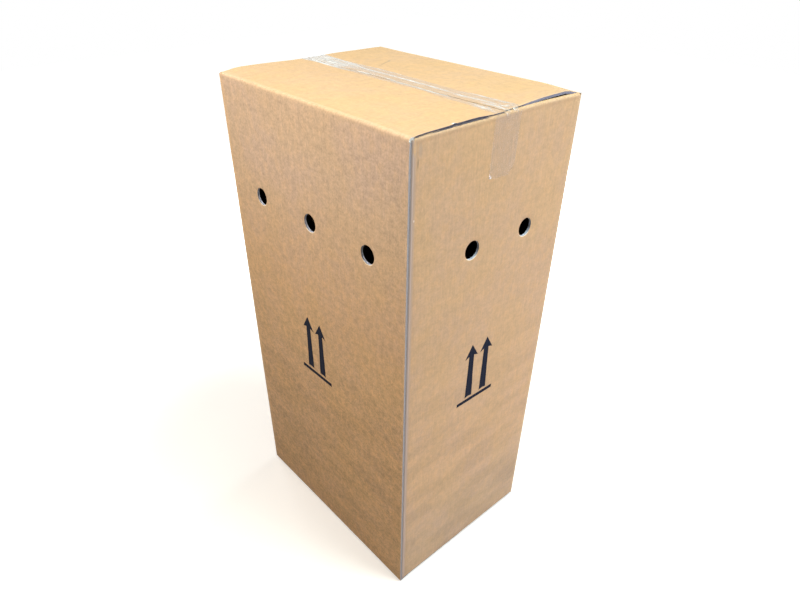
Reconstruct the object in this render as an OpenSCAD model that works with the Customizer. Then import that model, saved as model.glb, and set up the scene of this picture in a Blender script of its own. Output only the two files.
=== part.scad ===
// Ventilated shipping box: a regular slotted carton of single-wall corrugated
// board, folded from one blank and glued along one upright corner. Its bottom
// flaps are glued, and its top flaps are held by clear tape over their seam.
// X runs along the long walls, Y across them and Z up from the floor.
// The joint's corner is at +X, -Y.

/* [Carton] */
// Outer length of the long walls
length = 384; // [300:1:480]
// Outer width of the short walls
width = 290; // [230:1:360]
// Outer height over the closed flaps
height = 740; // [560:1:900]

/* [Board] */
// Thickness of the corrugated board
board_t = 3; // [2:0.1:4.5]
// Inside radius of every fold
fold_r = 0.5; // [0.2:0.1:1.5]
// Thickness of the liner paper at a cut edge
liner_t = 0.6; // [0.3:0.1:0.8]
// How far the flutes lie back between the liners at a cut edge
flute_setback = 0.8; // [0.3:0.1:1.5]

/* [Flaps] */
// Gap between the two outer flaps at the centre seam
seam_gap = 1.5; // [0.5:0.1:5]
// Air or glue between an outer flap and the inner flap behind it
lap_gap = 0.3; // [0.2:0.1:1]
// Set-back of an outer flap's slotted end from the short wall's face
outer_flap_setback = 3; // [2:0.1:6]
// Set-back of the near outer flap's end from the joint's corner
joint_flap_setback = 1; // [0.5:0.1:2.5]
// Play between an inner flap's side and the long wall
inner_flap_play = 1; // [0.5:0.1:3]
// Depth of the slots' roots below the inner flaps' fold
slot_root = 0.7; // [0.2:0.1:2]

/* [Glued joint] */
// Width of the tab glued behind the front wall
tab_w = 35; // [20:1:50]
// Set-back of the tab's ends from the slots' roots
tab_setback = 1; // [0.5:0.5:12]
// Slope of the tab's two ends
tab_slope = 15; // [0:1:30]

/* [Vents] */
// Diameter of the punched vents
vent_d = 25; // [10:0.5:40]
// Number of vents in a long wall
long_vent_count = 3; // [1:1:4]
// Spacing of the vents in a long wall
long_vent_spacing = 118; // [60:0.5:130]
// Depth of a long wall's vents below the top
long_vent_drop = 154; // [60:1:300]
// Shift of a long wall's vents to the right, seen from outside
long_vent_shift = 5; // [-15:0.5:15]
// Number of vents in a short wall
short_vent_count = 2; // [1:1:3]
// Spacing of the vents in a short wall
short_vent_spacing = 101.5; // [50:0.5:105]
// Depth of a short wall's vents below the top
short_vent_drop = 157; // [60:1:300]
// Shift of a short wall's vents to the right, seen from outside
short_vent_shift = 13.4; // [-15:0.1:15]

/* [Tape] */
// Width of the tape
tape_w = 48; // [24:1:75]
// Thickness of the film with its glue
tape_t = 0.1; // [0.05:0.01:0.3]
// Length of the tape's tails down the short walls
tape_tail = 68; // [30:1:100]
// Shift of the tape's middle from the centre seam
tape_shift = 7; // [-12:0.5:12]
// How far the tape drifts off along the seam, from one end to the other
tape_skew = 6; // [-12:0.5:12]

/* [Hidden] */
$fn = 64;
eps = 1;

// Every fold turns the board on this outer radius
fold_out_r = board_t + fold_r;
// All eight flaps are as deep as half the width, as in any slotted carton
flap_d = (width - seam_gap) / 2;
// The inner flaps fold one layer lower than the outer flaps
inner_drop = board_t + lap_gap;
inner_span = height - 2 * inner_drop;
// The slots end just past the inner flaps' fold
root_span = inner_span - 2 * slot_root;
// The flaps end this far along their walls, as seen from outside
outer_end = length / 2 - outer_flap_setback;
outer_joint_end = length / 2 - joint_flap_setback;
inner_end = width / 2 - board_t - inner_flap_play;
// The tab turns in behind the front wall round this centre
tab_fold_x = length / 2 - fold_out_r;
tab_fold_y = -width / 2 + board_t + fold_out_r;
tab_h = root_span - 2 * tab_setback;
inner_joint_end = tab_fold_y + inner_flap_play;

// Turns a wall's own frame to its side of the box: the wall's outer face lies
// at offset and its x axis runs to the right as seen from outside
module on_side(turn, offset) {
    rotate([0, 0, turn]) translate([0, -offset, 0]) children();
}

// Rectangle with its two left corners rounded
module round_left(w, h, r) {
    translate([r, 0]) square([w - r, h]);
    translate([0, r]) square([w, h - 2 * r]);
    for (y = [r, h - r]) translate([r, y]) circle(r);
}

// Section through a wall and its two folded flaps, outer face on the left.
// An inset gives the layer of flutes that lies that deep in the board.
module flap_section(depth, span, inset) {
    difference() {
        translate([inset, inset])
            round_left(depth - inset, span - 2 * inset, fold_out_r - inset);
        translate([board_t - inset, board_t - inset])
            round_left(depth, span - 2 * (board_t - inset), fold_r + inset);
    }
}

// Runs a wall's section from one end to the other along the wall's x axis
module run_section(from, to, depth, span, inset = 0) {
    translate([from, 0, (height - span) / 2])
        rotate([90, 0, 90])
            linear_extrude(to - from) flap_section(depth, span, inset);
}

// One wall between its slots, with its top and bottom flaps folded over and
// the flutes lying back between the liners at both cut ends
module flapped_wall(from, to, span) {
    difference() {
        run_section(from, to, flap_d, span);
        run_section(from - eps, from + flute_setback, flap_d + eps, span, liner_t);
        run_section(to - flute_setback, to + eps, flap_d + eps, span, liner_t);
    }
}

// What rounds off a square corner at the origin, with the box at -x, -y
module corner_cut(r) {
    difference() {
        translate([-r, -r]) square(r + eps);
        translate([-r, -r]) circle(r);
    }
}

// Rectangle with three rounded corners, square at the joint's corner
module rounded_plan(l, w, r) {
    difference() {
        square([l, w], center = true);
        translate([l / 2, w / 2]) corner_cut(r);
        translate([-l / 2, w / 2]) rotate(90) corner_cut(r);
        translate([-l / 2, -w / 2]) rotate(180) corner_cut(r);
    }
}

// Plan of the four walls. The front wall runs out to its cut edge at the
// joint, and the short wall beside it stops where its tab turns in.
module wall_plan() {
    difference() {
        rounded_plan(length, width, fold_out_r);
        rounded_plan(length - 2 * board_t, width - 2 * board_t, fold_r);
        translate([length / 2 - board_t - eps, -width / 2 + board_t])
            square([board_t + 2 * eps, fold_out_r]);
    }
}

// Plan of what stands up to the slots' roots: the long walls and the corners
module root_plan() {
    difference() {
        wall_plan();
        translate([0, inner_joint_end])
            square([length / 2 + eps, inner_end - inner_joint_end]);
        translate([-length / 2 - eps, -inner_end])
            square([length / 2 + eps, 2 * inner_end]);
    }
}

// Extrudes a plan to span, centred between floor and top
module upright(span) {
    translate([0, 0, (height - span) / 2]) linear_extrude(span) children();
}

// Plan of the tab, from the short wall round its fold to its free end
module tab_plan() {
    translate([tab_fold_x, tab_fold_y]) intersection() {
        difference() {
            circle(fold_out_r);
            circle(fold_r);
        }
        translate([0, -fold_out_r]) square(fold_out_r);
    }
    translate([length / 2 - board_t, tab_fold_y]) square([board_t, inner_flap_play]);
    translate([length / 2 - tab_w, -width / 2 + board_t])
        square([tab_w - fold_out_r, board_t]);
}

// What slopes the tab's lower end, from its fold up to its free end
module tab_end_cut() {
    rise = tab_w * tan(tab_slope);
    translate([tab_fold_x, -width / 2 + 2 * board_t + eps, (height - tab_h) / 2])
        rotate([90, 0, 0])
            linear_extrude(2 * board_t + eps)
                polygon([[0, 0], [0, -eps], [-tab_w, -eps], [-tab_w, rise]]);
}

module glue_tab() {
    difference() {
        upright(tab_h) tab_plan();
        for (side = [0, 1])
            translate([0, 0, side * height]) mirror([0, 0, side]) tab_end_cut();
    }
}

// The front wall's cut edge, with its flutes lying back between the liners
module joint_edge_groove() {
    translate([length / 2 - flute_setback, -width / 2 + liner_t, 0])
        cube([flute_setback + eps, board_t - 2 * liner_t, height]);
}

// A row of vents punched through one wall
module vent_row(count, spacing, drop, shift) {
    for (i = [0:count - 1])
        translate([shift + (i - (count - 1) / 2) * spacing, board_t + eps, height - drop])
            rotate([90, 0, 0]) cylinder(d = vent_d, h = board_t + 2 * eps);
}

module carton() {
    color("burlywood") difference() {
        union() {
            difference() {
                union() {
                    upright(inner_span - 2 * fold_out_r) wall_plan();
                    upright(root_span) root_plan();
                }
                joint_edge_groove();
            }
            on_side(0, width / 2) flapped_wall(-outer_end, outer_joint_end, height);
            on_side(180, width / 2) flapped_wall(-outer_end, outer_end, height);
            on_side(90, length / 2)
                flapped_wall(inner_joint_end, inner_end, inner_span);
            on_side(270, length / 2) flapped_wall(-inner_end, inner_end, inner_span);
            glue_tab();
        }
        for (turn = [0, 180]) {
            on_side(turn, width / 2)
                vent_row(long_vent_count, long_vent_spacing, long_vent_drop,
                         long_vent_shift);
            on_side(turn + 90, length / 2)
                vent_row(short_vent_count, short_vent_spacing, short_vent_drop,
                         short_vent_shift);
        }
    }
}

// Side view of all that the tape wraps at the +x end, grown by grow: the outer
// flaps out to their end and the short wall down from its rounded fold. The
// film runs straight from the flaps' edge to where it touches the fold.
module wrapped_end(flap_end, grow) {
    centre = [length / 2 - fold_out_r, height - inner_drop - fold_out_r];
    r = fold_out_r + grow;
    edge = [flap_end + grow, height + grow];
    reach = edge - centre;
    turn = atan2(reach[1], reach[0]) - acos(r / norm(reach));
    touch = centre + r * [cos(turn), sin(turn)];
    translate(centre) circle(r);
    polygon([[0, centre[1]], centre, touch, edge, [0, edge[1]]]);
    translate([0, centre[1] - tape_tail]) square([length / 2 + grow, tape_tail]);
}

module wrapped_ends(grow) {
    wrapped_end(outer_joint_end, grow);
    mirror([1, 0]) wrapped_end(outer_end, grow);
}

// The tape's long edge that lies across from its middle, from end to end:
// straight over the two ends and drifting along the top between them
function tape_edge(across) = [
    for (x = [-length / 2 - eps, -outer_end, outer_end, length / 2 + eps])
        [x, tape_shift + across - sign(x) * tape_skew / 2]
];

module tape_plan() {
    near = tape_edge(-tape_w / 2);
    far = tape_edge(tape_w / 2);
    polygon([each near, far[3], far[2], far[1], far[0]]);
}

module tape() {
    color([0.86, 0.84, 0.8, 0.5]) intersection() {
        linear_extrude(height + 2 * tape_t) tape_plan();
        rotate([90, 0, 0]) linear_extrude(width, center = true) difference() {
            wrapped_ends(tape_t);
            wrapped_ends(0);
        }
    }
}

carton();
tape();
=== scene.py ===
import math
import bpy
from mathutils import Matrix, Vector, noise


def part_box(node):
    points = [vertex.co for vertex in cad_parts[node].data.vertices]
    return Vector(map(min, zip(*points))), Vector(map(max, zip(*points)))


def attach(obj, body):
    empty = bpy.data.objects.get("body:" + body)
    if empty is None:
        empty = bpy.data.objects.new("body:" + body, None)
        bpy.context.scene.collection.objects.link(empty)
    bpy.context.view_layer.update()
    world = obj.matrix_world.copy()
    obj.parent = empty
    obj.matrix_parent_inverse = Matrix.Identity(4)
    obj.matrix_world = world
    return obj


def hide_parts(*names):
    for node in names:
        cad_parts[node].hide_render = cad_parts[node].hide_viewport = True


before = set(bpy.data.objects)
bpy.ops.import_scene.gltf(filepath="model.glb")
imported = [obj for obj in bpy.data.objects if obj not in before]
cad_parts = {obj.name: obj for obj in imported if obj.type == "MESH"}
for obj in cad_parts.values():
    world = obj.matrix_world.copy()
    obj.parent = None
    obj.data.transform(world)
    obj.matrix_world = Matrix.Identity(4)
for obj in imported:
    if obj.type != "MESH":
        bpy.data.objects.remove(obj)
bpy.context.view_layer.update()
print("frame loaded:", sorted(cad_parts))

mm = 0.001  # the shapes below are worked out in millimetres

# the camera that took the photograph, solved from the box's edges
cameraSpec = {
    "place": (623.1, -547.6, 919.8),
    "forward": (-0.60948, 0.53995, -0.58051),
    "right": (0.66062, 0.7507, 0.00466),
    "lens": 27.146,
    "shift": (0.00935, 0.0497),
}


def makeCamera(spec):
    cameraData = bpy.data.cameras.new("photoCamera")
    cameraData.sensor_width = 36
    cameraData.lens = spec["lens"]
    cameraData.shift_x, cameraData.shift_y = spec["shift"]
    cameraData.clip_start = 0.02
    camera = bpy.data.objects.new("photoCamera", cameraData)
    bpy.context.scene.collection.objects.link(camera)
    forward = Vector(spec["forward"]).normalized()
    right = Vector(spec["right"])
    right = (right - forward * right.dot(forward)).normalized()
    up = right.cross(forward)
    turn = Matrix((right, up, -forward)).transposed()
    camera.matrix_world = Matrix.Translation(Vector(spec["place"]) * mm) @ turn.to_4x4()
    bpy.context.scene.camera = camera


makeCamera(cameraSpec)
print("camera placed")

# outer sizes come from the CAD solid
boxLow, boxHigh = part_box("carton")
boxLength = (boxHigh[0] - boxLow[0]) / mm
boxWidth = (boxHigh[1] - boxLow[1]) / mm
boxHeight = (boxHigh[2] - boxLow[2]) / mm

board = {
    "thickness": 3.0,
    "foldRadius": 3.5,      # outside of every fold
    "liner": 0.42,          # paper thickness at a cut edge
    "groove": 1.3,          # how far the flutes lie back at a knife-cut edge
    "punchGroove": 0.35,    # and at a punched vent, whose edge is crushed
    "jointGroove": 0.15,    # and down the glued corner, pressed flat
    "jointShade": 1.0,       # how strong the painted shade beside that corner is
    "jointFlare": 0.45,     # the pressed edge spreads this much
    "frayedTip": 5.0,       # height of the pale frayed tip at its top
    "paleEnd": 25.0,        # behind this the top flap's cut end is painted paler, as painted light
    "footTaper": 0.75,      # the near bottom flap's end runs in by this share of its overhang
    "flutePitch": 6.3,
    "medium": 0.22,         # thickness of the fluted paper
    "lapDrop": 3.3,         # inner flaps fold this much lower
    "slotRoot": 4.0,        # slots end this far below the top
    "outerSetback": 3.0,
    "jointSetback": 1.0,
    "innerPlay": 1.0,
    "sharp": math.radians(32),         # edges sharper than this are drawn sharp
    "fluteSharp": math.radians(50),    # and on the fluted paper
    "seamGap": 1.5,
    "tabWidth": 35.0,
    "tabSetback": 1.0,
    "tabSlope": 0.268,
    "gridStep": 11.0,
    "foldSteps": 5,
    "nearFold": (1.5, 3.0, 4.5, 6.5, 9.0),   # extra rows beside a fold
}
vents = {
    "radius": 12.5,
    "block": 20.0,          # half the square patch that holds a vent
    "lip": 3.0,             # width of the punch's pressed rim
    "lipDepth": 0.4,
    "lipHighlight": 2.2,         # painted highlight on the lower lip of a vent
    "points": 64,
    "long": {"count": 3, "spacing": 118.0, "drop": 154.0, "shift": 5.0},
    "short": {"count": 2, "spacing": 101.5, "drop": 157.0, "shift": 13.4},
}
flapDepth = (boxWidth - board["seamGap"]) / 2
outerEnd = boxLength / 2 - board["outerSetback"]
innerEnd = boxWidth / 2 - board["thickness"] - board["innerPlay"]
tabFold = -boxWidth / 2 + board["thickness"] + board["foldRadius"]
foldArc = (board["foldRadius"] - board["thickness"] / 2) * math.pi / 2


def wallSpec(name, turn, half, start, end, flapStart, flapEnd, drop, ventSet):
    cosTurn, sinTurn = round(math.cos(turn)), round(math.sin(turn))
    spec = {"name": name, "half": half, "start": start, "end": end, "drop": drop}
    spec["along"] = (cosTurn, sinTurn)
    spec["out"] = (sinTurn, -cosTurn)
    spec["flap"] = (flapStart, flapEnd)
    spec["blankStart"] = 0.0
    middle = (ventSet["count"] - 1) / 2
    spec["vents"] = [(ventSet["shift"] + (k - middle) * ventSet["spacing"],
                      boxHeight - ventSet["drop"]) for k in range(ventSet["count"])]
    return spec


# the walls in the order of the blank, each seen from outside
halfL, halfW = boxLength / 2, boxWidth / 2
walls = [
    wallSpec("right", math.pi / 2, halfL, tabFold, halfW - board["foldRadius"],
             tabFold + board["innerPlay"], innerEnd, board["lapDrop"], vents["short"]),
    wallSpec("back", math.pi, halfW, board["foldRadius"] - halfL, halfL - board["foldRadius"],
             -outerEnd, outerEnd, 0, vents["long"]),
    wallSpec("left", -math.pi / 2, halfL, board["foldRadius"] - halfW,
             halfW - board["foldRadius"], -innerEnd, innerEnd, board["lapDrop"], vents["short"]),
    wallSpec("front", 0, halfW, board["foldRadius"] - halfL, halfL,
             -outerEnd, halfL - board["jointSetback"], 0, vents["long"]),
]
for before, after in zip(walls, walls[1:]):
    after["blankStart"] = before["blankStart"] + before["end"] - before["start"] + foldArc
wallNamed = {wall["name"]: wall for wall in walls}


def smooth(value):
    value = min(max(value, 0), 1)
    return value * value * (3 - 2 * value)


def bump(value, centre, reach):
    return math.exp(-((value - centre) / reach) ** 2)


def steps(start, end, longest):
    count = max(1, math.ceil((end - start) / longest - 1e-6))
    return [start + (end - start) * k / count for k in range(count + 1)]


def spaced(marks, longest):
    marks = sorted(set(round(mark, 4) for mark in marks))
    values = []
    for low, high in zip(marks, marks[1:]):
        values += steps(low, high, longest)[:-1]
    return values + marks[-1:]


def between(value, points):
    # straight lines between given (place, height) points
    for (x0, y0), (x1, y1) in zip(points, points[1:]):
        if value <= x1:
            return y0 + (y1 - y0) * smooth((value - x0) / (x1 - x0))
    return points[-1][1]


# how the closed board really lies, in millimetres away from flat
relief = {
    "bulge": {"front": 0.9, "right": 0.7, "back": 0.8, "left": 0.6},
    "bulgeRun": 160.0,      # the bulge grows over this distance from a wall's ends
    "ripple": 0.35,
    "flapRipple": 0.5,
    "score": 0.3,           # depth of the scoring wheel's line beside a fold
    "scoreAway": 3.5,       # distance of that line from the fold
    "hiddenShare": 0.6,     # the hidden end's flaps stand up by this share of the seen end's
    # height of an outer flap's end over the short wall's fold, from front to back
    "endHeight": ((-142, 1.1), (-118, 1.5), (-97, 1.8), (-70, 2.5), (-48, 2.8), (-32, 2.0),
                  (-20, 1.2), (5, 1.3), (27, 1.6), (45, 2.6), (68, 3.7), (91, 4.5),
                  (112, 4.7), (126, 3.4), (134, 0.9), (142, -0.2)),
    # how far a short wall's top fold stands up, from front to back
    "crest": {"right": ((-145, 1.4), (-118, 2.1), (-10, 2.1), (60, 3.0), (107, 2.3), (143, 1.3)),
              "left": ((-145, 1.8), (145, 1.8))},
    "crestReach": 45.0,
    "flake": {"y": -81.0, "reach": 2.2, "height": 0.9},   # torn bit of liner on the front flap
    "endReach": 60.0,       # how far the end's lift or crush runs into the flap
    "innerSag": 2.2,
}


def crestRise(x, y):
    points = relief["crest"]["right" if x > 0 else "left"]
    return between(y, points) * smooth((abs(x) - outerEnd) / relief["endReach"] + 1)


def nearTop(z):
    return smooth(1 - (boxHeight - board["foldRadius"] - z) / relief["crestReach"])


def flapRise(x, y):
    # lift of the closed outer flaps' upper face
    flat = board["lapDrop"]
    rise = crestRise(x, y)
    lifted = between(y, relief["endHeight"]) - flat
    rise += lifted * smooth((x - outerEnd) / relief["endReach"] + 1)
    mirrored = (between(-y, relief["endHeight"]) - flat) * relief["hiddenShare"]
    rise += mirrored * smooth((-x - outerEnd) / relief["endReach"] + 1)
    flake = relief["flake"]
    rise += flake["height"] * bump(y, flake["y"], flake["reach"]) * smooth((x - outerEnd + 2) / 3)
    away = smooth((halfW - abs(y)) / 40) * smooth((halfL - abs(x)) / 70)
    rise += relief["flapRipple"] * away * noise.noise(Vector((x / 90, y / 70, 3.1)))
    return rise


def boardShift(wall, along, inward, z):
    # (outward, upward, thinner): where this point of the board lies beside its flat place
    side = 1 if z > boxHeight / 2 else -1
    fromFold = (boxHeight / 2 - abs(z - boxHeight / 2)) - wall["drop"] - board["foldRadius"]
    x = wall["out"][0] * (wall["half"] - inward) + wall["along"][0] * along
    y = wall["out"][1] * (wall["half"] - inward) + wall["along"][1] * along
    up = thinner = 0.0
    if wall["drop"] == 0:
        if side > 0:
            up = flapRise(x, y) * nearTop(z)
            thinner = -min(up, 0) * smooth((inward - 1) / 6)
    else:
        up = crestRise(x, y) * nearTop(z + wall["drop"]) * smooth(1 - inward / relief["endReach"])
        if inward > board["foldRadius"]:
            up -= side * relief["innerSag"] * smooth(inward / flapDepth)
    if inward > 0:
        dent = relief["score"] * bump(inward - board["foldRadius"], relief["scoreAway"], 2)
        return 0.0, up - side * dent, thinner - dent * 0.6
    width = (wall["end"] - wall["start"]) / 2
    middle = (wall["end"] + wall["start"]) / 2
    sideways = (along - middle) / width
    fromSide = width - abs(along - middle)
    swell = (1 - sideways ** 2) * smooth(fromFold / relief["bulgeRun"])
    ripple = noise.noise(Vector((along / 110, z / 90, wall["half"] / 37)))
    outward = relief["bulge"][wall["name"]] * swell
    if wall["name"] == "front":
        flare = board["jointFlare"] * smooth((along - wall["end"] + 5) / 5) * smooth(fromFold / 30)
        thinner -= flare
        outward += flare
    outward += relief["ripple"] * ripple * smooth(fromSide / 50) * smooth(fromFold / 60)
    dent = relief["score"] * (bump(fromSide, relief["scoreAway"], 2) * 0.7 + bump(fromFold, 4, 2))
    for ventX, ventZ in wall["vents"]:
        reach = math.hypot(along - ventX, z - ventZ) - vents["radius"]
        dent += vents["lipDepth"] * smooth(1 - reach / vents["lip"])
    return outward - dent, up, thinner - dent * 0.5


def newPiece(name, points, faces, materials):
    # a smooth mesh object from points in millimetres
    mesh = bpy.data.meshes.new(name)
    mesh.from_pydata([[value * mm for value in point] for point in points], [], faces)
    for material in materials:
        mesh.materials.append(material)
    mesh.polygons.foreach_set("use_smooth", [True] * len(mesh.polygons))
    piece = bpy.data.objects.new(name, mesh)
    bpy.context.scene.collection.objects.link(piece)
    return piece


def layFlat(mesh, name, places):
    # texture coordinates: where each point lies on the flat sheet
    layer = mesh.uv_layers.new(name=name)
    for corner in mesh.loops:
        u, v = places[corner.vertex_index]
        layer.data[corner.index].uv = (u * mm, v * mm)


def keepField(mesh, name, values):
    field = mesh.attributes.new(name, "FLOAT", "POINT")
    field.data.foreach_set("value", values)


# A sheet is the blank's outside as a grid of points, closed to a board later. Its "fold" is a
# code at each point: 1 rubbed pale, 2 a painted highlight on a vent's lower lip, -1 painted shade
# beside the glued corner, -2 painted light in the crevice by the joint.
def newSheet():
    return {"index": {}, "outer": [], "inner": [], "normal": [], "blank": [], "fold": [],
            "faces": [], "plain": set()}


def sheetPoint(sheet, column, row, plain=False):
    inward, z, normalOut, normalUp, blankV, fold = row
    x = column["x"] - column["out"][0] * inward
    y = column["y"] - column["out"][1] * inward
    if z < boxHeight / 2 and inward > 0 and y < 0 and x > outerEnd:
        x = outerEnd + (x - outerEnd) * (1 - board["footTaper"] * smooth(inward / 25))
    key = (round(x, 3), round(y, 3), round(z, 3))
    if key in sheet["index"]:
        return sheet["index"][key]
    normal = Vector((column["out"][0] * normalOut, column["out"][1] * normalOut, normalUp))
    outward, up, thinner = 0.0, crestRise(x, y) * nearTop(z), 0.0
    if column["wall"]:
        outward, up, thinner = boardShift(column["wall"], column["along"], inward, z)
    outer = Vector((x + column["out"][0] * outward, y + column["out"][1] * outward, z + up))
    index = len(sheet["outer"])
    sheet["index"][key] = index
    sheet["outer"].append(outer)
    sheet["inner"].append(outer - normal * (board["thickness"] - thinner))
    sheet["normal"].append(normal)
    sheet["blank"].append((column["blankU"], blankV))
    sheet["fold"].append(max(fold, column["fold"], key=abs))
    if plain:
        sheet["plain"].add(index)
    return index


def wallColumn(wall, along, fold=0.0):
    x = wall["out"][0] * wall["half"] + wall["along"][0] * along
    y = wall["out"][1] * wall["half"] + wall["along"][1] * along
    return {"x": x, "y": y, "out": wall["out"], "wall": wall, "along": along, "fold": fold,
            "blankU": wall["blankStart"] + along - wall["start"]}


def foldColumns(wall, blankU, radius):
    # the upright fold after a wall's end
    centre = wallColumn(wall, wall["end"])
    centreX = centre["x"] - wall["out"][0] * radius
    centreY = centre["y"] - wall["out"][1] * radius
    columns = []
    for k in range(1, board["foldSteps"]):
        turn = math.pi / 2 * k / board["foldSteps"]
        out = [math.cos(turn) * o + math.sin(turn) * a for o, a in zip(wall["out"], wall["along"])]
        columns.append({"x": centreX + out[0] * radius, "y": centreY + out[1] * radius,
                        "out": out, "wall": None, "along": 0, "fold": 1.0,
                        "blankU": blankU + foldArc * k / board["foldSteps"]})
    return columns


def foldFade(distance):
    return smooth(1 - distance / 6)


def wallMarks():
    # heights that every wall's rows share
    low = board["lapDrop"] + board["foldRadius"]
    high = boxHeight - low
    marks = [low, high]
    for step in board["nearFold"]:
        marks += [low + step, high - step]
    for ventSet in (vents["long"], vents["short"]):
        z = boxHeight - ventSet["drop"]
        marks += [z - vents["block"], z, z + vents["block"]]
    return spaced(marks, board["gridStep"])


def flapRows(drop, extra=()):
    # from the bottom flap's free edge, up the wall, to the top flap's free edge
    radius = board["foldRadius"]
    top = []
    foldStart = boxHeight - drop - radius
    for k in range(1, board["foldSteps"] + 1):
        turn = math.pi / 2 * k / board["foldSteps"]
        top.append((radius * (1 - math.cos(turn)), foldStart + radius * math.sin(turn),
                    math.cos(turn), math.sin(turn), foldStart + foldArc * k / board["foldSteps"], 1.0))
    marks = [radius, flapDepth, *extra] + [radius + step for step in board["nearFold"]]
    for inward in spaced(marks, board["gridStep"])[1:]:
        top.append((inward, boxHeight - drop, 0.0, 1.0, foldStart + foldArc + inward - radius,
                    foldFade(inward - radius)))
    bottom = [(inward, boxHeight - z, out, -up, boxHeight - blankV, fold)
              for inward, z, out, up, blankV, fold in reversed(top)]
    return bottom, top


def wallRows(low, high):
    heights = [z for z in wallMarks() if low + 0.01 < z < high - 0.01]
    heights = [low] + heights + [high]
    return [(0.0, z, 1.0, 0.0, z, foldFade(min(z, boxHeight - z) - board["foldRadius"]))
            for z in heights]


def inBlock(wall, along, z):
    block = vents["block"]
    return any(abs(along - x) < block and abs(z - ventZ) < block for x, ventZ in wall["vents"])


def fillCells(sheet, left, right, rows, plainLeft=False):
    for low, high in zip(rows, rows[1:]):
        wall = left["wall"]
        if wall and wall is right["wall"] and low[0] == high[0] == 0:
            if inBlock(wall, (left["along"] + right["along"]) / 2, (low[1] + high[1]) / 2):
                continue
        corners = [sheetPoint(sheet, left, low, plainLeft), sheetPoint(sheet, right, low),
                   sheetPoint(sheet, right, high), sheetPoint(sheet, left, high, plainLeft)]
        sheet["faces"].append(corners)


def fillVent(sheet, wall, marks, ventX, ventZ):
    # a round hole in its square patch of the wall's grid
    block = vents["block"] + 1e-3
    xs = [x for x in marks if abs(x - ventX) < block]
    zs = [z for z in wallMarks() if abs(z - ventZ) < block]
    edge = [(x, zs[0]) for x in xs[:-1]] + [(xs[-1], z) for z in zs[:-1]]
    edge += [(x, zs[-1]) for x in xs[:0:-1]] + [(xs[0], z) for z in zs[:0:-1]]

    def point(x, z, lipLight=0.0):
        return sheetPoint(sheet, wallColumn(wall, x), (0.0, z, 1.0, 0.0, z, lipLight))

    def ring(part):
        radius = vents["radius"] + vents["lip"] * part
        loop = []
        for k in range(vents["points"]):
            turn = 2 * math.pi * (k + 0.5) / vents["points"] - math.pi
            # a painted highlight along the vent's lower lip
            lipLight = vents["lipHighlight"] * smooth((-math.sin(turn) - 0.45) / 0.4) * smooth(1.6 - 3 * part)
            x, z = ventX + radius * math.cos(turn), ventZ + radius * math.sin(turn)
            loop.append((turn, point(x, z, lipLight)))
        return loop

    outline = sorted((math.atan2(z - ventZ, x - ventX), point(x, z)) for x, z in edge)
    loops = [outline] + [ring(part) for part in (1, 0.5, 0.25, 0)]
    for far, near in zip(loops, loops[1:]):
        stitch(sheet, far, near)


def stitch(sheet, far, near):
    # triangles or quads between two loops of (angle, point), far one outside
    i = j = 0
    full = 2 * math.pi
    while i < len(far) or j < len(near):
        farNow, nearNow = far[i % len(far)][1], near[j % len(near)][1]
        farNext = far[(i + 1) % len(far)][0] + full * ((i + 1) // len(far))
        nearNext = near[(j + 1) % len(near)][0] + full * ((j + 1) // len(near))
        both = i < len(far) and j < len(near) and abs(farNext - nearNext) < 1e-6
        if both:
            sheet["faces"].append([farNow, far[(i + 1) % len(far)][1],
                                   near[(j + 1) % len(near)][1], nearNow])
            i, j = i + 1, j + 1
        elif j >= len(near) or (i < len(far) and farNext < nearNext):
            sheet["faces"].append([farNow, far[(i + 1) % len(far)][1], nearNow])
            i += 1
        else:
            sheet["faces"].append([farNow, near[(j + 1) % len(near)][1], nearNow])
            j += 1


def marksAlong(wall):
    # where a wall's upright grid lines stand
    marks = [wall["start"], wall["end"], *wall["flap"]]
    for step in board["nearFold"]:
        marks += [wall["start"] + step, wall["end"] - step]
    for ventX, ventZ in wall["vents"]:
        marks += [ventX - vents["block"], ventX, ventX + vents["block"]]
    return spaced(marks, board["gridStep"])


def columnWearAndShade(wall, along):
    # rubbed beside a fold, painted shade beside the glued corner
    fromStart, fromEnd = foldFade(along - wall["start"]), foldFade(wall["end"] - along)
    if wall["name"] == "right":
        fromStart *= -board["jointShade"]
    if wall["name"] == "front":
        fromEnd *= -0.3 * board["jointShade"]
    return max(fromStart, fromEnd, key=abs)


def fillWall(sheet, wall, rootRows):
    # one wall with its two flaps and its vents
    marks = marksAlong(wall)
    flakeRows = [halfW + relief["flake"]["y"] + step for step in (-4, -2, 0, 2, 4)]
    bottom, top = flapRows(wall["drop"], flakeRows if wall["name"] == "front" else ())
    foldStart = wall["drop"] + board["foldRadius"]
    middle = wallRows(foldStart, boxHeight - foldStart)
    if wall["drop"] == 0:
        middle = middle[:1] + rootRows + middle[-1:]
    columns = [wallColumn(wall, along, columnWearAndShade(wall, along)) for along in marks]
    for left, right in zip(columns, columns[1:]):
        plain = wall is walls[0] and left is columns[0]
        centre = (left["along"] + right["along"]) / 2
        flapped = wall["flap"][0] < centre < wall["flap"][1]
        fillCells(sheet, left, right, bottom + middle + top if flapped else rootRows, plain)
    for ventX, ventZ in wall["vents"]:
        fillVent(sheet, wall, marks, ventX, ventZ)
    return columns


def buildBlank():
    sheet = newSheet()
    rootRows = wallRows(board["slotRoot"], boxHeight - board["slotRoot"])
    for wall, following in zip(walls, walls[1:] + [None]):
        last = fillWall(sheet, wall, rootRows)[-1]
        if following:
            turning = [last] + foldColumns(wall, last["blankU"], board["foldRadius"])
            turning.append(wallColumn(following, marksAlong(following)[0], 1.0))
            for left, right in zip(turning, turning[1:]):
                fillCells(sheet, left, right, rootRows)
    return sheet


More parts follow.
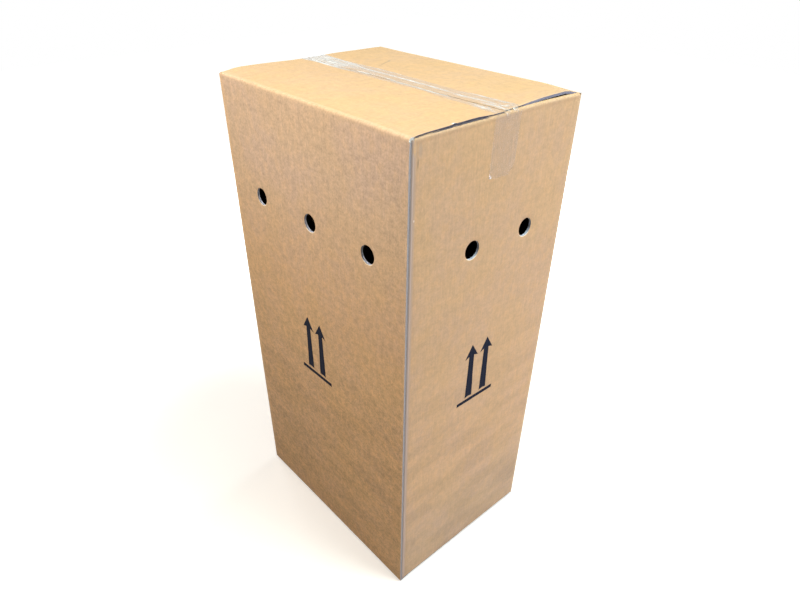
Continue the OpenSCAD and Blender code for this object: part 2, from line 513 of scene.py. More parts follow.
def buildTab():
    # the glue tab turns in behind the front wall and is narrower at its free end
    sheet = newSheet()
    radius = board["foldRadius"]
    low = board["slotRoot"] + board["tabSetback"]
    foldX = halfL - radius
    columns = []
    for x in spaced([halfL - board["tabWidth"], foldX], 8.0):
        columns.append({"x": x, "y": -halfW + board["thickness"], "out": (0, -1), "wall": None,
                        "along": x, "blankU": x - foldX - foldArc, "fold": 0.0,
                        "low": low + (foldX - x) * board["tabSlope"]})
    # the tab's fold is coded for painted light in its shaded crevice
    for k in range(1, board["foldSteps"] + 1):
        turn = math.pi / 2 * k / board["foldSteps"]
        out = (math.sin(turn), -math.cos(turn))
        columns.append({"x": foldX + out[0] * radius, "y": tabFold + out[1] * radius, "out": out,
                        "wall": None, "along": 0, "fold": -2.0, "low": low,
                        "blankU": foldArc * (k / board["foldSteps"] - 1)})
    parts = steps(0, 1, 1 / 24)
    for left, right in zip(columns, columns[1:]):
        for low, high in zip(parts, parts[1:]):
            corners = []
            for column, part in ((left, low), (right, low), (right, high), (left, high)):
                z = column["low"] + (boxHeight - 2 * column["low"]) * part
                plain = column is columns[-1]
                corners.append(sheetPoint(sheet, column, (0.0, z, 1.0, 0.0, z, 0.0), plain))
            sheet["faces"].append(corners)
    # behind the front wall the tab follows that wall's swell
    front = wallNamed["front"]
    for place in (sheet["outer"], sheet["inner"]):
        for point in place:
            outward = boardShift(front, point.x, 0.0, point.z)[0]
            point.y -= outward * smooth((foldX - point.x) / 10)
    return sheet


def openEdges(sheet):
    # the cut edges of a sheet, as loops of points
    used = set()
    for face in sheet["faces"]:
        for a, b in zip(face, face[1:] + face[:1]):
            used.add((a, b))
    following = {}
    for a, b in used:
        if (b, a) not in used:
            following[a] = b
    loops = []
    while following:
        start = min(following)
        loop = []
        while start in following:
            loop.append(start)
            start = following.pop(start)
        loops.append(loop)
    return loops


def edgeOutward(sheet, loop):
    # in the board's plane, away from the board, at each point of a cut edge
    outward = []
    count = len(loop)
    for k, point in enumerate(loop):
        total = Vector()
        for a, b in ((loop[k - 1], point), (point, loop[(k + 1) % count])):
            run = sheet["outer"][b] - sheet["outer"][a]
            total += run.normalized().cross(sheet["normal"][point])
        outward.append(total.normalized())
    return outward


def edgeKinds(sheet, loop):
    # kind of cut at each point of a loop: knife-cut, punched, or the pressed glued corner
    kinds = []
    for point in loop:
        place = sheet["outer"][point]
        glued = place.x > halfL - 1.5 and place.y < tabFold
        kind = "punch" if len(loop) == vents["points"] else "cut"
        if glued:
            kind = "tip" if place.z > boxHeight - board["frayedTip"] else "joint"
        # the far top flap's cut end takes the lit copy of the cut edge's colour
        if place.x > outerEnd - 1 and place.y > board["paleEnd"] and place.z > boxHeight - 2:
            kind = "pale"
        kinds.append(kind)
    return kinds


grooves = {"cut": board["groove"], "punch": board["punchGroove"], "joint": board["jointGroove"],
           "tip": 0.05, "pale": 0.3}
edgeSlot = {"cut": 1, "punch": 2, "joint": 3, "tip": 4, "pale": 5}
insideSlot = 6


def closeBoard(sheet, name, materials):
    # outside, inside and cut edges with a groove between the two liners
    points = [tuple(p) for p in sheet["outer"]] + [tuple(p) for p in sheet["inner"]]
    count = len(sheet["outer"])
    faces, edgeFaces = [], []
    for face in sheet["faces"]:
        faces.append(face)
        faces.append([p + count for p in reversed(face)])
    blank = sheet["blank"] * 2
    fold = sheet["fold"] + [0.0] * count
    liner = board["liner"]
    edgeSlots = []
    for loop in openEdges(sheet):
        kinds = edgeKinds(sheet, loop)
        outward = edgeOutward(sheet, loop)
        rims = []
        for point, away, kind in zip(loop, outward, kinds):
            outer, inner = sheet["outer"][point], sheet["inner"][point]
            across = (inner - outer).normalized()
            back = away * (0.02 if point in sheet["plain"] else grooves[kind])
            places = [outer + across * liner, outer + across * liner - back,
                      inner - across * liner - back, inner - across * liner]
            rims.append([point] + list(range(len(points), len(points) + 4)) + [point + count])
            points += [tuple(place) for place in places]
            blank += [sheet["blank"][point]] * 4
            fold += [0.0] * 4
        for k, rim in enumerate(rims):
            other = rims[(k + 1) % len(rims)]
            for part in range(5):
                edgeFaces.append([rim[part], rim[part + 1], other[part + 1], other[part]])
                edgeSlots.append(edgeSlot[kinds[k]])
    piece = newPiece(name, points, faces + edgeFaces, materials)
    sides = [0, insideSlot] * len(sheet["faces"])
    piece.data.polygons.foreach_set("material_index", sides + edgeSlots)
    keepField(piece.data, "foldWearAndPaintedLight", fold)
    finishMesh(piece.data, blank)
    return piece


def finishMesh(mesh, blank):
    mesh.set_sharp_from_angle(angle=board["sharp"])
    layFlat(mesh, "blank", blank)
    mesh.validate()
    mesh.update()


def fluteRibbons(sheets, name, material):
    # the fluted paper between the liners, seen at every cut edge
    points, faces = [], []
    thickness, liner = board["thickness"], board["liner"]
    swing = (thickness - 2 * liner - board["medium"]) / 2
    for sheet in sheets:
        for loop in openEdges(sheet):
            kinds = edgeKinds(sheet, loop)
            outward = edgeOutward(sheet, loop)
            rings = []
            for k, point in enumerate(loop):
                other = loop[(k + 1) % len(loop)]
                depth = min(grooves[kinds[k]], grooves[kinds[(k + 1) % len(loop)]])
                plain = point in sheet["plain"] and other in sheet["plain"]
                length = (sheet["outer"][other] - sheet["outer"][point]).length
                travel = abs(sheet["blank"][other][0] - sheet["blank"][point][0])
                parts = max(1, math.ceil(travel / 0.8), math.ceil(length / 6))
                for part in range(parts):
                    share = part / parts
                    outer = sheet["outer"][point].lerp(sheet["outer"][other], share)
                    inner = sheet["inner"][point].lerp(sheet["inner"][other], share)
                    away = outward[k].lerp(outward[(k + 1) % len(loop)], share)
                    across = (inner - outer) / thickness
                    start, end = sheet["blank"][point], sheet["blank"][other]
                    u = start[0] + (end[0] - start[0]) * share
                    v = start[1] + (end[1] - start[1]) * share
                    wave = math.cos(2 * math.pi * u / board["flutePitch"])
                    wave = 0.85 * wave + 0.3 * noise.noise(Vector((u / 9, v / 7, 1.7)))
                    middle = thickness / 2 + swing * max(-1, min(1, wave))
                    ragged = abs(noise.noise(Vector((u / 2.5, v / 2.5, 9.3))))
                    front = -min(0.12 + 0.35 * ragged, depth * 0.6)
                    half = board["medium"] / 2
                    ring = []
                    for back, side in ((front, -half), (front, half), (-depth - 0.05, half),
                                       (-depth - 0.05, -half)):
                        place = outer + across * (middle + side) + away * back
                        ring.append(len(points))
                        points.append(tuple(place))
                    rings.append((ring, plain))
            for k, (ring, plain) in enumerate(rings):
                other = rings[(k + 1) % len(rings)][0]
                if plain:
                    continue
                for part in range(4):
                    after = (part + 1) % 4
                    faces.append([ring[part], other[part], other[after], ring[after]])
    piece = newPiece(name, points, faces, [material])
    piece.data.set_sharp_from_angle(angle=board["fluteSharp"])
    return piece


# node helpers shared by the materials
def newMaterial(name):
    material = bpy.data.materials.new(name)
    material.use_nodes = True
    tree = material.node_tree
    tree.nodes.clear()
    return material, tree


def addNode(tree, kind, values=None, **settings):
    node = tree.nodes.new(kind)
    for key, value in settings.items():
        setattr(node, key, value)
    for key, value in (values or {}).items():
        if isinstance(value, bpy.types.NodeSocket):
            tree.links.new(value, node.inputs[key])
        else:
            node.inputs[key].default_value = value
    return node


def mathNode(tree, operation, *values, clamp=False):
    node = tree.nodes.new("ShaderNodeMath")
    node.operation = operation
    node.use_clamp = clamp
    for k, value in enumerate(values):
        if isinstance(value, bpy.types.NodeSocket):
            tree.links.new(value, node.inputs[k])
        else:
            node.inputs[k].default_value = value
    return node.outputs[0]


def mixColour(tree, factor, first, second, blend="MIX"):
    node = tree.nodes.new("ShaderNodeMix")
    node.data_type = "RGBA"
    node.blend_type = blend
    for key, value in (("Factor", factor), ("A", first), ("B", second)):
        socket = [s for s in node.inputs if s.name == key and s.enabled][0]
        if isinstance(value, bpy.types.NodeSocket):
            tree.links.new(value, socket)
        elif key == "Factor":
            socket.default_value = value
        else:
            socket.default_value = (*value, 1)
    return [s for s in node.outputs if s.enabled][0]


def ramp(tree, value, low, high, outLow=0.0, outHigh=1.0):
    node = addNode(tree, "ShaderNodeMapRange", {"Value": value, "From Min": low, "From Max": high,
                                                "To Min": outLow, "To Max": outHigh})
    node.interpolation_type = "SMOOTHSTEP"
    return node.outputs[0]


def stretched(tree, vector, scale, offset=(0, 0, 0)):
    node = addNode(tree, "ShaderNodeMapping", {"Vector": vector, "Scale": scale, "Location": offset})
    return node.outputs[0]


def noiseAt(tree, vector, scale=1.0, detail=3.0, roughness=0.55):
    node = addNode(tree, "ShaderNodeTexNoise", {"Vector": vector, "Scale": scale, "Detail": detail,
                                                "Roughness": roughness})
    return node.outputs["Fac"]


def toOutput(tree, shader, kind="Material"):
    addNode(tree, "ShaderNodeOutput" + kind, {"Surface": shader.outputs[0]})


def seenDirectly(tree):
    # 1 for what the camera, a reflection or clear film shows, 0 for what lights the box
    path = addNode(tree, "ShaderNodeLightPath").outputs
    seen = mathNode(tree, "ADD", path["Is Camera Ray"], path["Is Glossy Ray"], clamp=True)
    return mathNode(tree, "ADD", seen, path["Is Transmission Ray"], clamp=True)


def fluteWave(tree, along):
    # the flutes' crests, across the blank
    turn = mathNode(tree, "MULTIPLY", along, 2 * math.pi / (board["flutePitch"] * mm))
    return mathNode(tree, "COSINE", turn)


def mixed(tree, fields):
    # the sum of (field, amount) pairs
    total = 0.0
    for field, amount in fields:
        total = mathNode(tree, "MULTIPLY_ADD", field, amount, total)
    return total


def drawnOut(tree, field, low=0.3, high=0.7):
    # a noise field drawn out to run from -1 to 1
    return ramp(tree, field, low, high, -1, 1)


def onWall(name, along, z):
    wall = wallNamed[name]
    return wall["blankStart"] + along - wall["start"], z


def onTopFlap(name, along, inward):
    wall = wallNamed[name]
    return (wall["blankStart"] + along - wall["start"],
            boxHeight - wall["drop"] + foldArc + inward - 2 * board["foldRadius"])


kraft = {
    "colour": (0.600, 0.390, 0.207),
    "grey": (0.590, 0.388, 0.232),
    "warm": (0.620, 0.386, 0.190),
    "frayed": (0.70, 0.52, 0.34),
    # painted shade beside the glued corner
    "jointShadeTone": (0.47, 0.335, 0.25),
    # painted highlight on the vents' lower lips
    "lip": (0.95, 0.80, 0.60),
    # painted light: the shaded crevice by the joint is painted lighter
    "creviceLight": (0.62, 0.49, 0.41),
    # painted light and shade on the seen walls: the front's top paler and bluer, a painted warm bounce
    # on the front's foot, the right wall's foot in painted shade; height where it starts and is full,
    # in metres, and tone
    "paintedLightFades": {
        "frontTop": (0.43, 0.69, (0.885, 0.985, 1.24)),
        "frontFoot": (0.40, 0.26, (0.99, 0.965, 0.93)),
        "rightFoot": (0.24, 0.05, (0.87, 0.93, 1.02)),
    },
    # noise fields over the blank: scale along and up it, offset, detail, roughness
    "noises": {
        "cloud": ((13, 9), (0, 0), 4, 0.55),
        "blotch": ((75, 60), (5, 2), 3, 0.55),
        "grain": ((120, 135), (1, 4), 3, 0.6),
        "mottle": ((400, 330), (0, 0), 2, 0.6),
        "fibre": ((1500, 650), (0, 0), 3, 0.55),
        "upright": ((520, 30), (0, 0), 2, 0.55),
        "streak": ((9, 30), (3, 1), 1.5, 0.4),
    },
    "speckle": {"mottle": 0.055, "fibre": 0.035, "grain": 0.055, "blotch": 0.03},
    "roughness": 0.82,
    "sheen": 0.12,
    # small marks: place on the blank, half sizes, turn, strength, colour
    "smallMarks": (
        # the next three beside the glued corner's top: two marks of painted shade, then a painted
        # highlight on the rounded fold
        (onWall("right", -129.5, 723), (3, 8), 0, 0.6, (0.46, 0.34, 0.25)),
        (onWall("right", -132.6, 710.5), (0.7, 5.5), 0, 0.9, (0.24, 0.17, 0.10)),
        (onWall("right", -137.5, 727), (2.4, 9), 0, 0.8, (0.66, 0.42, 0.21)),
        (onWall("right", -136.3, 650), (1.0, 1.6), 0, 0.9, (0.80, 0.68, 0.58)),
        (onTopFlap("front", 189.6, 64), (2.6, 2.6), 0, 1.6, (0.70, 0.74, 0.78)),
        (onTopFlap("back", 88, 81), (1.6, 21), 0.464, 0.75, (0.36, 0.25, 0.16)),
        (onTopFlap("back", 95, 66), (2.2, 7), 0.75, 0.6, (0.36, 0.27, 0.20)),
        (onTopFlap("back", 48, 76), (1.5, 21), 0.329, 0.3, (0.40, 0.27, 0.16)),
    ),
}


def markField(tree, uv, place, half, turn):
    # 1 inside an ellipse on the blank, fading to 0 at its rim
    local = addNode(tree, "ShaderNodeMapping", {
        "Vector": uv, "Location": (place[0] * mm, place[1] * mm, 0), "Rotation": (0, 0, turn),
        "Scale": (half[0] * mm, half[1] * mm, 1)}, vector_type="TEXTURE")
    reach = addNode(tree, "ShaderNodeVectorMath", {0: local.outputs[0]}, operation="LENGTH")
    return ramp(tree, reach.outputs["Value"], 1.25, 0.45)


def kraftLiner(spec):
    # smooth brown liner: pulp mottle, fibres, soft streaks that are a bump and also painted light and
    # shade, and the flutes showing through
    material, tree = newMaterial("kraftLiner")
    uv = addNode(tree, "ShaderNodeUVMap", uv_map="blank").outputs[0]
    split = addNode(tree, "ShaderNodeSeparateXYZ", {"Vector": uv})
    along, up = split.outputs[0], split.outputs[1]
    fields = {}
    for title, (scale, offset, detail, roughness) in spec["noises"].items():
        place = stretched(tree, uv, (*scale, 1), (*offset, 0))
        fields[title] = noiseAt(tree, place, detail=detail, roughness=roughness)
    mottle = fields["mottle"]
    lowDown = ramp(tree, up, 0.50, 0.22)
    flute = fluteWave(tree, along)
    # fold code: rubbed wear at folds, with painted light and shade at the glued corner and the vents
    worn = addNode(tree, "ShaderNodeAttribute", attribute_name="foldWearAndPaintedLight").outputs["Fac"]

    colour = mixColour(tree, ramp(tree, fields["cloud"], 0.35, 0.65, 0, 0.9),
                       spec["colour"], spec["grey"])
    colour = mixColour(tree, ramp(tree, fields["blotch"], 0.42, 0.68, 0, 0.45), colour, spec["warm"])
    frontStart = wallNamed["front"]["blankStart"] * mm
    onFront = ramp(tree, along, frontStart - 0.006, frontStart + 0.012)
    below = ramp(tree, up, (boxHeight + 2) * mm, (boxHeight - 6) * mm)
    onFrontWall = mathNode(tree, "MULTIPLY", onFront, below)
    rightEnd = boxWidth * mm
    onRight = ramp(tree, along, rightEnd, rightEnd - 0.012)
    # painted light and shade: each fade tints a seen wall's colour by height
    for title, inside in (("frontTop", onFrontWall), ("frontFoot", onFront), ("rightFoot", onRight)):
        start, end, tone = spec["paintedLightFades"][title]
        paintedLightFade = mathNode(tree, "MULTIPLY", ramp(tree, up, start, end), inside)
        colour = mixColour(tree, paintedLightFade, colour, tone, "MULTIPLY")
    busy = mathNode(tree, "MULTIPLY", ramp(tree, up, 0.50, 0.28), onFront)
    lively = mathNode(tree, "MULTIPLY_ADD", onFrontWall, 0.75, 1.0)
    lively = mathNode(tree, "MULTIPLY_ADD", busy, 0.9, lively)
    rough = mixed(tree, [(drawnOut(tree, fields[title]), amount)
                         for title, amount in spec["speckle"].items()])
    shade = mathNode(tree, "MULTIPLY_ADD", rough, lively, 1.0)
    shade = mathNode(tree, "MULTIPLY_ADD", drawnOut(tree, fields["upright"], 0.35, 0.65), 0.035,
                     shade)
    shade = mathNode(tree, "MULTIPLY_ADD", flute, 0.010, shade)
    # the wavy streaks' painted light and shade, stronger low on the walls; the same streaks also bump
    # the surface
    depth = mathNode(tree, "MULTIPLY_ADD", lowDown, 0.055, 0.012)
    wavyLightAndShade = mathNode(tree, "MULTIPLY", drawnOut(tree, fields["streak"], 0.36, 0.64), depth)
    shade = mathNode(tree, "ADD", shade, wavyLightAndShade)
    tone = addNode(tree, "ShaderNodeCombineColor", {"Red": shade, "Green": shade, "Blue": shade})
    colour = mixColour(tree, 1.0, colour, tone.outputs[0], "MULTIPLY")
    patchy = ramp(tree, mottle, 0.3, 0.6, 0.1, 0.45)
    frayed = mathNode(tree, "MULTIPLY", ramp(tree, worn, 0, 1), patchy)
    colour = mixColour(tree, frayed, colour, spec["frayed"])
    # painted shade beside the glued corner
    colour = mixColour(tree, ramp(tree, worn, 0, -1, 0, 0.9), colour, spec["jointShadeTone"])
    # painted highlight on the vents' lower lips
    colour = mixColour(tree, ramp(tree, worn, 1.0, 2.0), colour, spec["lip"])
    # painted light in the shaded crevice by the joint
    colour = mixColour(tree, ramp(tree, worn, -1.0, -1.8), colour, spec["creviceLight"])
    for place, half, turned, strength, mark in spec["smallMarks"]:
        field = mathNode(tree, "MULTIPLY", markField(tree, uv, place, half, turned),
                         ramp(tree, mottle, 0.25, 0.55, 0.3 * strength, strength))
        colour = mixColour(tree, field, colour, mark)

    height = mixed(tree, [(flute, 0.02), (fields["streak"], 0.15), (mottle, 0.06),
                          (fields["fibre"], 0.03)])
    relief = addNode(tree, "ShaderNodeBump", {"Height": height, "Strength": 0.5, "Distance": 0.001})
    matt = ramp(tree, mottle, 0.3, 0.7, spec["roughness"] - 0.06, spec["roughness"] + 0.06)
    shader = addNode(tree, "ShaderNodeBsdfPrincipled", {
        "Base Color": colour, "Roughness": matt, "Normal": relief.outputs[0],
        "Specular IOR Level": 0.3, "Sheen Weight": spec["sheen"], "Sheen Roughness": 0.6})
    toOutput(tree, shader)
    return material


def cutBoard(name, colour, other, low=0.35, high=0.7):
    # the liners' cut rims and the shadowed groove between them
    material, tree = newMaterial(name)
    place = addNode(tree, "ShaderNodeTexCoord").outputs["Object"]
    grain = noiseAt(tree, place, scale=900, detail=4)
    blend = mixColour(tree, ramp(tree, grain, low, high), colour, other)
    relief = addNode(tree, "ShaderNodeBump", {"Height": grain, "Strength": 0.5, "Distance": 0.0004})
    shader = addNode(tree, "ShaderNodeBsdfPrincipled", {
        "Base Color": blend, "Roughness": 0.9, "Normal": relief.outputs[0],
        "Specular IOR Level": 0.2})
    toOutput(tree, shader)
    return material


# material slots of the board after its liner: two tones and the noise between them
cutBoards = {
    # knife-cut edges painted dark, as painted shade
    "cutRimShaded": ((0.17, 0.165, 0.205), (0.42, 0.41, 0.43), 0.54, 0.68),
    # the vents' punched edges are painted bright and bluish: painted light with a cool painted
    # reflection
    "punchedRimLit": ((0.74, 0.80, 0.95), (0.56, 0.62, 0.76)),
    "gluedRim": ((0.42, 0.405, 0.41), (0.35, 0.335, 0.34)),
    "frayedTip": ((0.78, 0.79, 0.76), (0.60, 0.60, 0.56)),
    # a lit copy of the cut edge's colour, painted paler, for the far top flap's end
    "cutRimLit": ((0.34, 0.345, 0.43), (0.22, 0.22, 0.29), 0.40, 0.62),
    # the inside is painted near black, as painted shade inside the closed box
    "insideLinerShaded": ((0.115, 0.105, 0.095), (0.09, 0.085, 0.08)),
}
boardMaterials = [kraftLiner(kraft)]
boardMaterials += [cutBoard(name, *tones) for name, tones in cutBoards.items()]
mediumMaterial = cutBoard("fluteMedium", (0.22, 0.20, 0.22), (0.13, 0.12, 0.14))

blankSheet = buildBlank()
tabSheet = buildTab()
boxBoard = closeBoard(blankSheet, "boxBoard", boardMaterials)
glueTab = closeBoard(tabSheet, "glueTab", boardMaterials)
flutes = fluteRibbons([blankSheet, tabSheet], "flutes", mediumMaterial)
for piece in (boxBoard, glueTab, flutes):
    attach(piece, "root")
    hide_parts("carton")
print("board folded:", len(boxBoard.data.polygons), "faces,", len(flutes.data.polygons), "of flutes")

# "this way up" marks, two arrows over a bar, printed from one die on every wall
upMark = {
    "bar": (75.0, 6.0),
    "gap": 3.5,             # between the bar and the arrows' shafts
    "spread": 15.2,         # half the distance between the arrows
    "barShift": -0.6,
    "height": 103.0,
    "headHeight": 22.0,
    "headHalf": 13.1,
    "notch": 3.0,           # how far the barbs sweep back
    "shaftTop": 5.0,
    "shaftFoot": 7.2,
    "footHollow": 1.2,
    "lift": 0.07,           # the ink stands this much off the paper
    "sunk": 0.05,           # and its back lies this deep in it
    "ragged": 0.14,
    "colour": (0.0100, 0.0130, 0.0260),
    "worn": (0.034, 0.036, 0.052),
    "places": {"front": (-6.4, 324.0), "right": (-2.9, 329.0),
               "back": (-6.4, 324.0), "left": (-2.9, 329.0)},
}


def arrowShape(spec):
    # points and faces of one arrow: a fan for the head, strips for the shaft
    tip, foot = spec["height"], spec["bar"][1] + spec["gap"]
    barb = tip - spec["headHeight"]
    under = []
    for k in range(5):
        part = k / 4
        across = spec["headHalf"] + (spec["shaftTop"] - spec["headHalf"]) * part
        under.append((across, barb + spec["notch"] * part ** 0.8))
    points = [(0.0, tip)] + under + [(-across, up) for across, up in reversed(under)]
    faces = [(0, k + 1, k) for k in range(1, len(points) - 1)]
    joint = barb + spec["notch"]
    last = (6, 5)
    for k in range(1, 13):
        part = k / 12
        across = spec["shaftTop"] + (spec["shaftFoot"] - spec["shaftTop"]) * part ** 1.4
        up = joint + (foot - joint) * part
        points += [(-across, up), (across, up)]
        faces.append((last[0], len(points) - 2, len(points) - 1, last[1]))
        last = (len(points) - 2, len(points) - 1)
    points.append((0.0, foot + spec["footHollow"]))
    hollow = len(points) - 1
    faces[-1:] = [(faces[-1][0], last[0], hollow), (faces[-1][0], hollow, faces[-1][3]),
                  (faces[-1][3], hollow, last[1])]
    return points, faces


def barShape(spec):
    width, height = spec["bar"]
    left = spec["barShift"] - width / 2
    points = [(left + width * k / 24, up) for k in range(25) for up in (0.0, height)]
    return points, [(k, k + 2, k + 3, k + 1) for k in range(0, 48, 2)]


def printMarks(spec):
    material = inkMaterial(spec)
    arrow, arrowFaces = arrowShape(spec)
    shapes = [([(across + side * spec["spread"], up) for across, up in arrow], arrowFaces)
              for side in (-1, 1)] + [barShape(spec)]
    for name, (centre, low) in spec["places"].items():
        wall = wallNamed[name]
        points, faces, blank = [], [], []
        for shape, shapeFaces in shapes:
            first, count = len(points), len(shape)
            for lift in (spec["lift"], -spec["sunk"]):
                for across, up in shape:
                    sideways = noise.noise(Vector((across / 3, up / 3, wall["half"])))
                    upward = noise.noise(Vector((across / 3, up / 3, wall["half"] + 50)))
                    along = centre + across + sideways * spec["ragged"]
                    z = low + up + upward * spec["ragged"]
                    reach = wall["half"] + boardShift(wall, along, 0.0, z)[0] + lift
                    points.append([wall["out"][axis] * reach + wall["along"][axis] * along
                                   for axis in (0, 1)] + [z])
                    blank.append((wall["blankStart"] + along - wall["start"], z))
            edges = set()
            for face in shapeFaces:
                front = [first + k for k in face]
                faces += [front, [k + count for k in reversed(front)]]
                edges.update(zip(front, front[1:] + front[:1]))
            faces += [(b, a, a + count, b + count) for a, b in edges if (b, a) not in edges]
        mark = newPiece(name + "Print", points, faces, [material])
        finishMesh(mark.data, blank)
        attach(mark, "root")


def inkMaterial(spec):
    # flexo ink: dense, matt, thinner along the flutes' crests
    material, tree = newMaterial("printInk")
    uv = addNode(tree, "ShaderNodeUVMap", uv_map="blank").outputs[0]
    fluteX = addNode(tree, "ShaderNodeSeparateXYZ", {"Vector": uv}).outputs[0]
    flute = fluteWave(tree, fluteX)
    grain = noiseAt(tree, stretched(tree, uv, (1300, 500, 1)), detail=4)
    patch = noiseAt(tree, stretched(tree, uv, (160, 90, 1)), detail=2)
    thin = mathNode(tree, "MULTIPLY_ADD", flute, 0.05, grain)
    thin = mathNode(tree, "MULTIPLY_ADD", patch, 0.25, thin)
    colour = mixColour(tree, ramp(tree, thin, 0.62, 0.86), spec["colour"], spec["worn"])
    relief = addNode(tree, "ShaderNodeBump", {"Height": grain, "Strength": 0.3, "Distance": 0.0003})
    shader = addNode(tree, "ShaderNodeBsdfPrincipled", {
        "Base Color": colour, "Roughness": ramp(tree, grain, 0.3, 0.7, 0.55, 0.75),
        "Normal": relief.outputs[0], "Specular IOR Level": 0.03})
    toOutput(tree, shader)
    return material


printMarks(upMark)
print("marks printed")

# clear tape over the top seam, gathered lengthwise by hand, with a tail down each short wall
tape = {
    "nearEdge": ((-192, -11), (-150, -7), (-75, -8), (64, -7), (94, -10), (135, -12), (187, -17),
                 (260, -20)),
    "farEdge": ((-192, 31), (-119, 31), (-51, 33.5), (0, 31), (69, 29), (96, 28), (121, 31),
                (187, 29), (205, 27), (260, 25)),
    "gap": 0.12,            # film over board
    "tailEnd": 665.5,
    "lengthStep": 2.6,
    "across": 52,
    # ridges of trapped air: (x, y) places, half width, height
    "ridges": (
        (((-190, 22), (-127, 24), (-63, 18), (-1, 17), (56, 15.5), (111, 12), (150, 14), (172, 12)),
         2.2, 0.75),
        (((-185, -3), (-90, -5), (-62, 2), (-30, 4.5), (20, -1), (74, -2), (120, -3)), 1.7, 0.6),
        (((-188, 10), (-150, 9), (-128, 13), (-100, 12), (-70, 12), (-40, 10.5)), 1.5, 0.45),
        (((-125, 30), (-83, 33), (-51, 32), (-18, 31), (-6, 30)), 1.6, 0.6),
        (((100, 24), (121, 29), (150, 28), (182, 27)), 1.5, 0.65),
        (((141, -6), (160, -8), (174, -11), (188, -14)), 2.4, 0.9),
        (((150, 4), (166, 7), (178, 4), (189, 6)), 2.0, 1.0),
    ),
    "ridgeRun": 8.0,        # how far a ridge fades out past its ends
    "threads": 0.12,        # height of the fine lengthwise threads
    "fullAir": 0.48,        # lifted this much, the film looks fully milky
    "looseGlare": {"from": -70.0, "reach": 75.0, "height": 0.22, "air": 0.75},   # loose left end: lifted a little and painted milky white, a painted reflection of the light
    "torn": ((-6, -12, 2.6), (15, 5, 5.0), (20, 5, 9.0)),   # the front tail's foot: y, reach, depth
    "crumple": {"x": 176.0, "reach": 22.0, "height": 0.9},
    "seam": 0.45,           # the film dips into the seam between the flaps
    "curl": {"y": -18.0, "z": 668.0, "reach": 4.6, "height": 1.6},   # lifted corner of the front tail
    "clear": (0.955, 0.94, 0.915),
    "density": 1.45,        # its refractive index, the same from both sides of so thin a film
    "haze": (0.86, 0.885, 0.91),
    "shine": 0.13,
    "tailHaze": 0.09,
}


tailLength = boxHeight - board["lapDrop"] - board["foldRadius"] - tape["tailEnd"]


def tapeEdges(path):
    # path: distance along the tape from the middle of the top, +X way
    if path < -boxLength / 2:
        return between(-boxLength / 2, tape["nearEdge"]), between(-boxLength / 2, tape["farEdge"])
    return between(path, tape["nearEdge"]), between(path, tape["farEdge"])


def ridgeAt(path, y):
    height = 0.0
    for points, half, strength in tape["ridges"]:
        start, end = points[0][0] - tape["ridgeRun"], points[-1][0] + tape["ridgeRun"]
        if start < path < end:
            ends = smooth((path - start) / 30) * smooth((end - path) / 30)
            centre = between(min(max(path, points[0][0]), points[-1][0]), points)
            centre += 0.8 * noise.noise(Vector((path / 25, half * 9, 4.2)))
            broken = 0.65 + 0.7 * noise.noise(Vector((path / 14, centre / 20, half * 5)))
            height = max(height, strength * ends * bump(y, centre, half) * broken)
    return height


def filmLift(path, y, edge):
    # height of the film over the board and how much air lies under it
    lift = ridgeAt(path, y)
    onTop = smooth((boxLength / 2 - abs(path)) / 6)
    long = noise.noise(Vector((path / 45, y / 2.4, 0.3)))
    lift += onTop * tape["threads"] * max(0.0, long + 0.1)
    crumple = tape["crumple"]
    rough = noise.noise(Vector((path / 7, y / 5, 7.7)))
    rough += 0.6 * noise.noise(Vector((path / 3.2, y / 3, 2.2)))
    lift += crumple["height"] * max(0.0, rough) * bump(path, crumple["x"], crumple["reach"])
    looseGlare = tape["looseGlare"]
    # the loose left end is painted milky white as a painted reflection
    glare = smooth((looseGlare["from"] - path) / looseGlare["reach"]) * onTop
    lift += looseGlare["height"] * glare * (0.5 + noise.noise(Vector((path / 16, y / 4, 5.5))))
    air = min(1.0, lift / tape["fullAir"] + looseGlare["air"] * glare)
    return max(lift, 0.0) * smooth(edge / 1.5 + 0.25), air


def filmStations():
    # (kind, amount) from the foot of the left tail to the foot of the right one
    down = [(kind, part) for kind in ("bridge", "arc") for part in (0.25, 0.5, 0.75)]
    down += [("tail", board["foldRadius"] + step) for step in steps(0, tailLength, tape["lengthStep"])]
    top = [("top", part) for part in steps(-1, 1, tape["lengthStep"] / outerEnd)]
    return [(kind, -amount) for kind, amount in reversed(down)] + top + down


